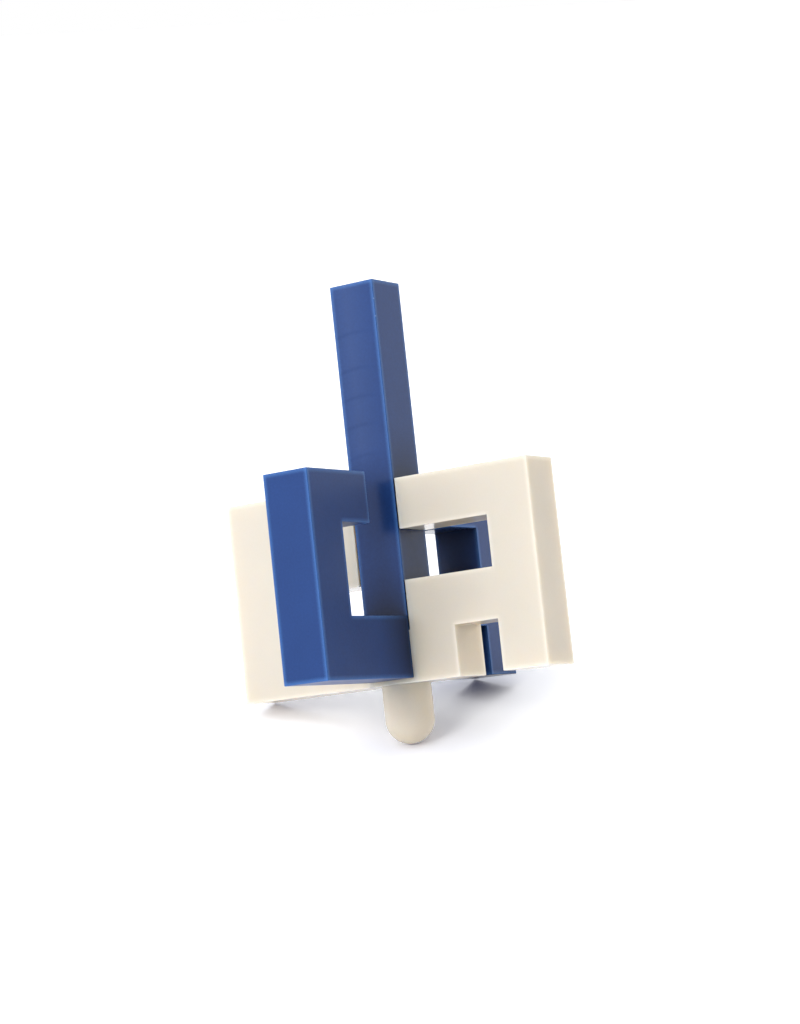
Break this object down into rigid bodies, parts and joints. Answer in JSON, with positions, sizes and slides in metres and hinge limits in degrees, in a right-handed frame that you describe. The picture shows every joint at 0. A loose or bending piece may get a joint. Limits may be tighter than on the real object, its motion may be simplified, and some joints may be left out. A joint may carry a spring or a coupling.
{
  "type": "dreidel",
  "caption": "Spinning top with a square finger stem and a round-ended tip, whose crossed fins are shaped as traditional game letters in blue and ivory plastic",
  "frame": {"origin": "lowest point of the round spinning tip, on the spin axis", "axes": "Z is the spin axis with the finger stem upward; X runs along the ivory letters, with the Hei on +X and the Pei on -X; Y runs along the blue letters, with the Gimel on +Y and the Nun on -Y"},
  "size_m": [0.056, 0.056, 0.073],
  "materials": {
    "blue_plastic": "semi-gloss moulded blue plastic, slightly translucent",
    "ivory_plastic": "semi-gloss moulded ivory plastic, slightly translucent"
  },
  "bodies": {
    "root": {"stem": "blue_plastic", "hub": "ivory_plastic", "spin_tip": "ivory_plastic", "nun_fin": "blue_plastic", "gimel_fin": "blue_plastic", "hei_fin": "ivory_plastic", "pei_fin": "ivory_plastic"}
  },
  "joints": []
}
